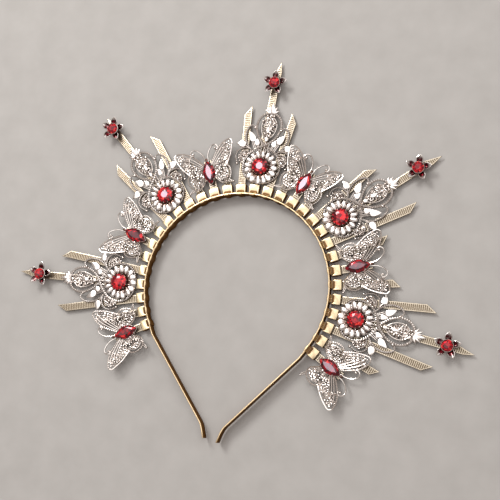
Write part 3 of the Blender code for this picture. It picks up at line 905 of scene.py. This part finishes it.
# Wires on both sides, for the right-hand one: radius, then across and along.
OVAL_WIRES = (
    (0.36, ((0.0, 117.6), (2.0, 116.6), (4.4, 113.6), (5.2, 110.4), (4.6, 106.6), (2.8, 103.2),
            (0.0, 101.4))),
    (0.34, ((0.0, 116.2), (1.9, 114.6), (2.5, 112.2), (1.7, 110.0), (0.0, 108.9))),
)
BEADED_WIRES = (
    (0.68, ((6.2, 90.2), (8.6, 92.4), (11.2, 94.8), (13.4, 97.8), (14.6, 101.4), (14.7, 105.0),
            (13.6, 108.4), (11.6, 109.9), (9.6, 109.2))),
    (0.70, ((9.4, 93.4), (12.4, 94.0), (15.6, 93.2), (18.0, 91.2), (19.0, 88.4), (18.5, 85.6),
            (17.4, 83.6))),
    (0.58, ((10.2, 91.6), (12.6, 91.9), (15.0, 91.0), (16.1, 89.0), (15.2, 87.2), (13.4, 87.0))),
)
PLAIN_WIRES = (
    (0.38, ((5.2, 92.4), (6.8, 95.4), (8.4, 98.6))),
    (0.38, ((6.1, 91.9), (7.7, 94.9), (9.3, 98.1))),
    (0.34, ((3.0, 93.0), (4.2, 95.0), (4.8, 97.0))),
    (0.34, ((3.8, 92.6), (5.0, 94.6), (5.6, 96.6))),
    (0.40, ((10.2, 93.6), (12.2, 94.6), (14.4, 96.0))),
    (0.36, ((10.4, 88.6), (12.4, 85.8), (15.4, 84.8))),
    (0.45, ((0.0, 109.2), (1.8, 107.9), (4.0, 106.6))),
    (0.30, ((2.8, 92.6), (2.2, 95.0), (2.6, 97.6), (4.4, 100.6))),
)
# across, along, radius
SIDE_BEADS = (
    (9.0, 108.2, 1.05), (17.0, 82.4, 1.0), (13.0, 88.2, 0.85), (14.6, 88.9, 0.7), (10.6, 89.8, 0.8),
    (16.4, 86.2, 0.75), (11.6, 88.2, 0.65), (4.6, 113.3, 0.95), (2.3, 117.3, 0.9), (2.1, 120.4, 0.8),
    (1.9, 104.6, 0.65), (1.0, 101.6, 0.65), (15.6, 84.6, 0.8),
)
THIN_WIRE_HEIGHT = WIRE_HEIGHT + 0.35
BEAD_HEIGHT = WIRE_HEIGHT + 0.4
SPINE_BEAD_HEIGHT = WIRE_HEIGHT + 0.5
LEAF_HEIGHT = WIRE_HEIGHT + 0.3
SPINE_LEAF_HEIGHT = WIRE_HEIGHT + 0.7
LACE_HEIGHT = WIRE_HEIGHT - 0.3
EIGHT_RADIUS = 0.95
SPINE_RADIUS = 0.5
SPINE = (92.2, 119.0)
# along, radius
SPINE_BEADS = (
    (72.4, 0.95), (93.2, 0.8), (95.0, 0.9), (98.6, 0.75), (100.2, 0.8), (103.2, 0.85), (116.4, 0.8),
)
# along, length, width
SPINE_LEAVES = ((107.8, 5.6, 2.7), (101.4, 4.4, 2.4))
# Two blunt bosses carry the spine on the ray.
BOSSES = (94.8, 118.4)
# across, along, length, width, turn from the ray (clockwise)
SIDE_LEAVES = (
    (10.1, 102.0, 7.8, 4.7, 33.0),
    (5.9, 98.7, 5.4, 3.7, 10.0),
    (16.8, 96.2, 6.8, 4.6, 92.0),
)
CAP_FOOT = (0.5, 118.8)
# across, along and width of the cap's leaves, at their tips
CAP_LEAVES = ((5.1, 121.6, 2.0), (3.5, 124.2, 2.2), (0.0, 126.8, 2.8), (1.7, 124.8, 1.4))
# The parts of the open work that small rings and beads fill: the oval's right half, and a side curl.
OVAL_LACE = ((0.0, 116.6), (2.6, 115.6), (4.6, 112.8), (4.8, 109.6), (4.0, 105.6), (2.2, 101.6), (0.0, 99.2))
CURL_LACE = ((10.8, 91.2), (14.4, 92.2), (17.4, 89.6), (17.6, 86.0), (15.4, 83.6), (12.6, 84.6), (11.6, 87.6))


def wirework():
    """A cluster's open work of beaded, twisted and plain wires with polished leaves."""
    work = Ornament(SILVER, BRIGHT, LACE)
    work.add(beaded(crossed_path(), EIGHT_RADIUS, 1.5, closed=True), BRIGHT)
    for radius, path in OVAL_WIRES:
        work.add(plain(raised(path, WIRE_HEIGHT), radius), both=True)
    for radius, path in BEADED_WIRES:
        work.add(beaded(raised(path, WIRE_HEIGHT), radius, 1.3), BRIGHT, both=True)
    for radius, path in PLAIN_WIRES:
        work.add(plain(raised(path, THIN_WIRE_HEIGHT), radius), both=True)
    for across, along, radius in SIDE_BEADS:
        work.add(ball((across, along, BEAD_HEIGHT), radius), both=True)
    for along, radius in SPINE_BEADS:
        work.add(ball((0, along, SPINE_BEAD_HEIGHT), radius))
    work.add(rope([Vector((0, along, WIRE_HEIGHT)) for along in SPINE], SPINE_RADIUS))
    for along, length, width in SPINE_LEAVES:
        work.add(leaf(length, width, 0.8), BRIGHT, at(0, along, SPINE_LEAF_HEIGHT))
    lace(work, both_sides(OVAL_LACE), 11, LACE_HEIGHT)
    lace(work, CURL_LACE, 12, LACE_HEIGHT, both=True)
    for across, along, length, width, turn in SIDE_LEAVES:
        place = at(across, along, LEAF_HEIGHT) @ clockwise(turn)
        work.add(leaf(length, width, 0.65, full=0.62), BRIGHT, place, both=True)
    for across, along, width in CAP_LEAVES:
        foot, tip = (*CAP_FOOT, WIRE_HEIGHT + 0.2), (across, along, WIRE_HEIGHT + 0.5)
        work.add(leaf_from(foot, tip, width, 0.8), BRIGHT, both=across > 0)
    for along in BOSSES:
        work.add(leaf(3.0, 2.4, 1.0, 8, point=0.0), place=at(0, along, RAY_FRONT))
    return work


def crossed_path():
    """The figure of eight, one strand of which rises over the other where the oval meets the ring."""
    path = raised(both_sides(CROSSED_HALF), WIRE_HEIGHT, closed=True)
    for point in path[:len(path) // 2]:
        point.z += CROSSING_RISE * max(0.0, 1 - abs(point.y - CROSSING) / CROSSING_REACH)
    return path


# Round the daisy's middle, as radius and height: its cup, a claw that holds the stone, and a spoke.
DAISY_CUP = (
    (4.9, 3.05), (9.4, 3.05), (10.3, 3.5), (10.3, 3.9), (9.2, 3.7), (7.0, 3.8), (6.4, 4.9), (5.6, 5.9),
    (4.9, 5.9),
)
DAISY_CLAW = ((5.9, 5.0), (5.9, 6.2), (5.15, 7.25))
CLAWS = 12
SPOKE = ((9.5, 5.9), (12.3, 5.5))
SPOKE_TURNS = (-18, -9, 0, 9, 18)
PETALS = 16
# near end, far end, height, width, shift in petals, tilt
PETAL_LAYERS = ((4.6, 12.3, 5.0, 4.7, 0.0, 5.0), (4.6, 8.8, 5.35, 1.6, 0.5, 12.0))
# where the petals' painted shade ends, and how much nearer the middle it is full
DAISY_PAINTED_SHADE = (9.2, 3.4)
# The petals' painted shade is centred this far below the stone, so the lower petals are darker.
PAINTED_SHADE_SHIFT = 1.0


def daisy():
    """Two layers of long petals on a dark cup, painted shade that shows between them, with thin spokes at its
    outer end and claws that hold the stone."""
    work = Ornament(SHADED, PAINTED_SHADE_SILVER, SILVER)
    centre = at(0, FLOWER_REACH)
    # The dark cup is painted shade that shows between the petals.
    work.add(turned_shape(DAISY_CUP), PAINTED_SHADE_SILVER, centre)
    chance = random.Random(8)
    for near, far, height, width, shift, tilt in PETAL_LAYERS:
        for i in range(PETALS):
            degrees = 360 / PETALS * (i + shift)
            lower = (1 - math.cos(math.radians(degrees))) / 2
            length = (far - near) * (0.85 + 0.15 * lower)
            out = polar(near + length / 2, degrees)
            place = at(out.x, FLOWER_REACH + out.y, height) @ clockwise(degrees - 180)
            place @= rotation(-tilt - chance.uniform(-5, 5), "X")
            place @= rotation(chance.uniform(-14, 14), "Y")
            shape = leaf(length, width * (0.64 + 0.36 * lower), 1.0, point=0.6, full=0.95)
            work.add(shape, SHADED, place)
    for degrees in SPOKE_TURNS:
        spoke = [polar(radius, degrees, height) for radius, height in SPOKE]
        work.add(plain(spoke, 0.28), SILVER, centre)
    for i in range(CLAWS):
        claw = [polar(radius, 360 / CLAWS * (i + 0.5), height) for radius, height in DAISY_CLAW]
        work.add(plain(smooth_path(claw, per_span=3), 0.34, step=0.6, sides=6), SILVER, centre)
    # The petals darken towards the stone with painted shade.
    paint_shade_and_reflection(work, Vector((0, FLOWER_REACH - PAINTED_SHADE_SHIFT)), *DAISY_PAINTED_SHADE)
    return work


def paint_shade_and_reflection(work, middle, edge, fade):
    """Gives each vertex the weight of the painted colour towards the middle: 0 beyond the edge, and 1 once it
    is nearer the middle by the fade.
    """
    shade_and_reflection = work.bm.verts.layers.float.new("shade_and_reflection")
    for vert in work.bm.verts:
        vert[shade_and_reflection] = min(max((edge - (vert.co.xy - middle).length) / fade, 0.0), 1.0)


def add_stone(name, place, node, *stone):
    work = Ornament(RUBY, faceted=True)
    work.add(cut_stone(*stone), smooth=False)
    work.piece(name, place, "ruby", node)


# The flowers at the rays' tips.

TIP_PETALS = 5
TIP_PETAL_SPAN = (2.4, 8.4)
TIP_PETAL_HALF = 2.0
TIP_PETAL_HEIGHT = 5.8
TIP_PETAL_RISE = 1.7
TIP_PETAL_CUP = 1.1
TIP_PETAL_WALL = 0.4
# radius and height
TIP_POST = (
    (0.9, 3.05), (1.4, 3.05), (1.2, 5.0), (2.9, 5.4), (3.5, 6.4), (3.2, 7.3), (2.9, 7.0), (0.9, 7.0),
)
TIP_RIM = 3.75
TIP_RIM_HEIGHT = 7.0
# where the petals' painted red reflection ends, and how much nearer the middle it is full
TIP_PAINTED_REFLECTION = (7.6, 1.5)


def petal_point(s, t):
    """A point of a tip flower's petal: s runs from edge to edge and t from the foot to the tip."""
    near, far = TIP_PETAL_SPAN
    across = s * TIP_PETAL_HALF * (0.5 + 1.9 * t) * (1 - t * t) ** 1.2
    cupped = TIP_PETAL_CUP * s * s * (1 - t ** 3) * min(1.0, 2 * t + 0.2)
    return Vector((across, near + (far - near) * t, TIP_PETAL_HEIGHT + TIP_PETAL_RISE * t ** 1.8 + cupped))


def pointed_petal():
    """A narrow cupped petal along Y from the flower's middle, with a thick wall."""
    bm = bmesh.new()
    bmesh.ops.create_grid(bm, x_segments=8, y_segments=12, size=1.0)
    for vert in bm.verts:
        vert.co = petal_point(vert.co.x, (vert.co.y + 1) / 2)
    bmesh.ops.remove_doubles(bm, verts=bm.verts, dist=0.02)
    return walled(bm, TIP_PETAL_WALL)


def tip_flower():
    """Five cupped petals with wire rims on a post, about the origin and one petal along Y."""
    work = Ornament(PAINTED_REFLECTION_SILVER, SILVER, BRIGHT)
    shares = [i / 10 for i in range(11)]
    rim = [petal_point(-1, t) for t in shares] + [petal_point(1, t) for t in reversed(shares[:-1])]
    for i in range(TIP_PETALS):
        turn = Matrix.Rotation(math.tau * i / TIP_PETALS, 4, "Z")
        work.add(pointed_petal(), PAINTED_REFLECTION_SILVER, turn)
        work.add(plain(rim, 0.18, step=0.5, sides=6), BRIGHT, turn)
    work.add(turned_shape(TIP_POST, 20), SILVER)
    beads = oval((0, 0), (TIP_RIM, TIP_RIM), TIP_RIM_HEIGHT)
    work.add(beaded(beads, 0.3, 0.95, closed=True, sides=6), SILVER)
    # The petals take a painted red reflection of the stone towards the middle.
    paint_shade_and_reflection(work, Vector((0, 0)), *TIP_PAINTED_REFLECTION)
    return work


def add_clusters():
    open_work, flower, small = wirework(), daisy(), tip_flower()
    for number, (slot, turn, lean, ray_lean, _, reach) in enumerate(CLUSTERS, 1):
        place, tip = at_slot(slot, turn, lean), at_slot(slot, lean=ray_lean)
        open_work.piece(f"wirework_{number}", place, "filigree_silver", f"filigree_{number}")
        flower.piece(f"daisy_{number}", place, "petal_silver", f"filigree_{number}")
        add_stone(f"flower_ruby_{number}", place @ at(0, FLOWER_REACH), f"flower_stone_{number}",
                  round_outline, FLOWER_CUT, number, FLOWER_GLOWS[slot in FLOWER_GLINTS])
        upright = tip @ at(0, reach) @ clockwise(-slot * PITCH)
        small.piece(f"tip_flower_petals_{number}", upright, "petal_silver", f"tip_flower_{number}")
        add_stone(f"tip_ruby_{number}", upright, f"tip_stone_{number}",
                  round_outline, TIP_CUT, 10 + number, TIP_GLOW)


# The butterflies, from the stone's centre.

WING_LIFT = 11.0
WING_HEIGHT = 3.6
STEM_REACH = 90.0
SEAT_HALF = (3.4, 8.0)
RIM_HALF = (4.3, 8.5)
RIM_HEIGHT = 5.1
MARQUISE_CLAWS = ((2.9, 4.6), (2.5, -5.6))
# A claw's points: how far out from its place, and height.
MARQUISE_CLAW = ((0.6, 4.6), (0.4, 5.7), (-0.5, 6.3))
LEADING_EDGE = ((2.0, 5.4), (4.8, 10.2), (9.0, 15.6), (13.8, 18.8), (17.8, 19.7))
TRAILING_EDGE = ((17.8, 19.7), (19.4, 18.1), (19.2, 15.6), (17.2, 9.2), (13.1, 1.6))
HINDWING_EDGE = ((11.0, 0.6), (13.8, 0.8), (15.2, -1.0), (15.4, -3.6), (14.6, -6.4), (12.8, -8.9),
                 (10.2, -9.8), (7.6, -9.2))
INNER_EDGE = ((7.8, -9.4), (5.4, -7.0), (3.6, -4.0), (2.6, -1.0))
FOREWING_LACE = ((9.0, 14.6), (13.8, 18.4), (17.6, 19.3), (19.0, 16.8), (16.9, 9.4), (12.9, 1.2),
                 (7.5, 0.6), (3.2, 0.0), (3.6, 3.2), (7.8, 7.6), (10.0, 11.0))
HINDWING_LACE = ((2.8, 0.8), (7.5, 0.8), (12.8, 1.2), (14.3, -1.2), (14.2, -5.2), (12.2, -8.6),
                 (9.6, -9.5), (5.8, -7.2), (3.2, -4.0))
# radius, then across and along
FOREWING_RIBS = (
    (0.45, ((2.5, 4.7), (6.2, 9.6), (10.8, 14.6), (15.0, 17.8))),
    (0.42, ((3.0, 3.9), (7.4, 8.7), (12.0, 13.0), (16.2, 15.8))),
    (0.42, ((3.4, 3.0), (8.4, 7.7), (12.8, 11.4))),
)
HINDWING_RIBS = (
    (0.34, ((12.7, -0.2), (13.6, -3.0), (13.0, -5.8), (11.2, -8.0))),
    (0.34, ((12.6, -8.8), (14.0, -9.9), (15.4, -10.7))),
    (0.34, ((11.6, -9.4), (13.2, -10.6), (15.2, -11.3))),
)
ANTENNA = ((1.0, 7.4), (1.6, 12.0), (3.6, 15.6), (6.4, 17.9), (8.8, 17.6), (10.0, 15.8), (9.2, 14.2),
           (7.7, 14.4))
FOREWING_ROOT = (3.0, 2.0)
FOREWING_TURN = 6.0


def wing(outline, seed, edges, ribs):
    """One flat wing: lace and long ribs within beaded edges."""
    work = Ornament(SILVER, BRIGHT, LACE)
    lace(work, outline, seed)
    for edge in edges:
        work.add(beaded(raised(edge, 0.0), 0.58, 1.3, sides=6))
    for radius, path in ribs:
        work.add(plain(raised(path, 0.45), radius))
    return work


def wings():
    """The right-hand wings, flat, with their antenna."""
    work = wing(HINDWING_LACE, 7, (HINDWING_EDGE, INNER_EDGE), HINDWING_RIBS)
    fore = wing(FOREWING_LACE, 4, (LEADING_EDGE,), FOREWING_RIBS)
    fore.add(plain(raised(TRAILING_EDGE, 0.1), 0.5, flat=0.8))
    work.take(fore, clockwise(FOREWING_TURN, FOREWING_ROOT))
    work.add(plain(oval((6.2, -4.8), (0.8, 2.4), 0.3, 20, -25), 0.28, closed=True), BRIGHT)
    work.add(ball((15.6, -11.2, 0.1), 0.75))
    work.add(plain(raised(ANTENNA, 0.5), 0.5), BRIGHT)
    work.add(ball((8.2, 15.3, 0.6), 0.85))
    return work


def butterfly():
    """Both pairs of wings, the setting of the stone and the short ray that carries them."""
    work = Ornament(SILVER, BRIGHT, LACE, RAY_GOLD, PANEL, PAINTED_SHADE_SILVER)
    stem = ray(((RAY_HALF, STEM_REACH), (-RAY_HALF, STEM_REACH)))
    for face in stem.bm.faces:
        face.material_index += 3
    work.take(stem)
    right = wings()
    right.bm.transform(at(0, BUTTERFLY_REACH, WING_HEIGHT) @ rotation(-WING_LIFT, "Y"))
    work.take(right)
    mirror(right.bm)
    work.take(right)
    centre = at(0, BUTTERFLY_REACH)
    sides = [marquise(i / 24) for i in range(24)]
    seat = [(side.x * SEAT_HALF[0], side.y * SEAT_HALF[1]) for side in sides]
    # The seat under the stone is dark with painted shade.
    work.add(prism(seat, RAY_FRONT - 0.1, MARQUISE_CUT.back - 0.1, 0.2), PAINTED_SHADE_SILVER, centre)
    rim = [Vector((side.x * RIM_HALF[0], side.y * RIM_HALF[1], RIM_HEIGHT)) for side in sides]
    work.add(beaded(rim, 0.3, 0.9, closed=True, sides=6), SILVER, centre)
    for across, along in MARQUISE_CLAWS:
        claw = smooth_path([(across + out, along, height) for out, height in MARQUISE_CLAW], per_span=3)
        work.add(plain(claw, 0.42, step=0.5, sides=6), BRIGHT, centre, both=True)
    # The head is dark with painted shade.
    head = centre @ at(0, 9.0, 4.4) @ Matrix.Diagonal((1.0, 1.2, 0.8, 1.0))
    work.add(ball((0, 0, 0), 1.2, 10), PAINTED_SHADE_SILVER, head)
    return work


def add_butterflies():
    one = butterfly()
    for number, slot in enumerate(BUTTERFLY_SLOTS, 1):
        place = at_slot(slot)
        one.piece(f"butterfly_lace_{number}", place, "filigree_silver", f"butterfly_{number}")
        add_stone(f"marquise_ruby_{number}", place @ at(0, BUTTERFLY_REACH), f"butterfly_stone_{number}",
                  marquise, MARQUISE_CUT, 20 + number, MARQUISE_GLOWS[slot in MARQUISE_GLINTS])


# The floor, the lights and the camera.


def add_floor():
    finish = Finish("pale_floor", Roughness=0.85)
    tone = finish.range(finish.noise(60.0, 4.0), 0.3, 0.7)
    colour = finish.mix(tone, (0.41, 0.40, 0.385), (0.45, 0.44, 0.425))
    sheet = Ornament(finish.give(Base_Color=colour))
    bmesh.ops.create_grid(sheet.bm, x_segments=1, y_segments=1, size=FLOOR_HALF)
    floor = in_scene("floor", sheet.mesh("floor"))
    floor.location.z = -FLOOR_DROP


def add_lamp(name, place, size, radiance, colour, aim):
    """A flat lamp that faces its aim. It gives off the same radiance at any size."""
    light = bpy.data.lights.new(name, "AREA")
    light.shape = "RECTANGLE"
    light.size, light.size_y = size
    light.energy = radiance * math.pi * size[0] * size[1]
    light.color = colour
    lamp = in_scene(name, light)
    lamp.location = place
    lamp.rotation_euler = (aim - Vector(place)).to_track_quat("-Z", "Y").to_euler()


def add_glint(name, slot, reach, height, radiance):
    """A small lamp where the camera sees it mirrored in a level table at that place of the crown."""
    table = at_slot(slot) @ Vector((0, reach, height))
    run = table - (RING_CENTRE + CAMERA_PLACE)
    away = Vector((run.x, run.y, -run.z)) * ((GLINT_HEIGHT - table.z) / -run.z)
    add_lamp(name, table + away, GLINT_SIZE, radiance, GLINT_COLOUR, table)


def add_lights():
    for lamp in LAMPS:
        add_lamp(*lamp, RING_CENTRE)
    for slot, radiance in FLOWER_GLINTS.items():
        add_glint(f"flower_glint_{slot}", slot, FLOWER_REACH, FLOWER_CUT.front, radiance)
    for slot, radiance in MARQUISE_GLINTS.items():
        add_glint(f"marquise_glint_{slot}", slot, BUTTERFLY_REACH, MARQUISE_CUT.front, radiance)
    world = bpy.data.worlds.new("room")
    world.use_nodes = True
    world.node_tree.nodes["Background"].inputs["Color"].default_value = ROOM_COLOUR
    bpy.context.scene.world = world


def add_camera():
    camera = in_scene("camera", bpy.data.cameras.new("camera"))
    camera.data.lens = CAMERA_LENS
    camera.data.sensor_width = CAMERA_SENSOR
    turn = Matrix()
    for axis, angle in CAMERA_TURNS:
        turn = turn @ Matrix.Rotation(angle, 4, axis)
    camera.matrix_world = Matrix.Translation(RING_CENTRE + CAMERA_PLACE) @ turn.inverted()
    bpy.context.scene.camera = camera
    bpy.context.scene.view_settings.view_transform = "Standard"


add_headband()
add_rays()
add_clusters()
add_butterflies()
add_floor()
add_lights()
add_camera()
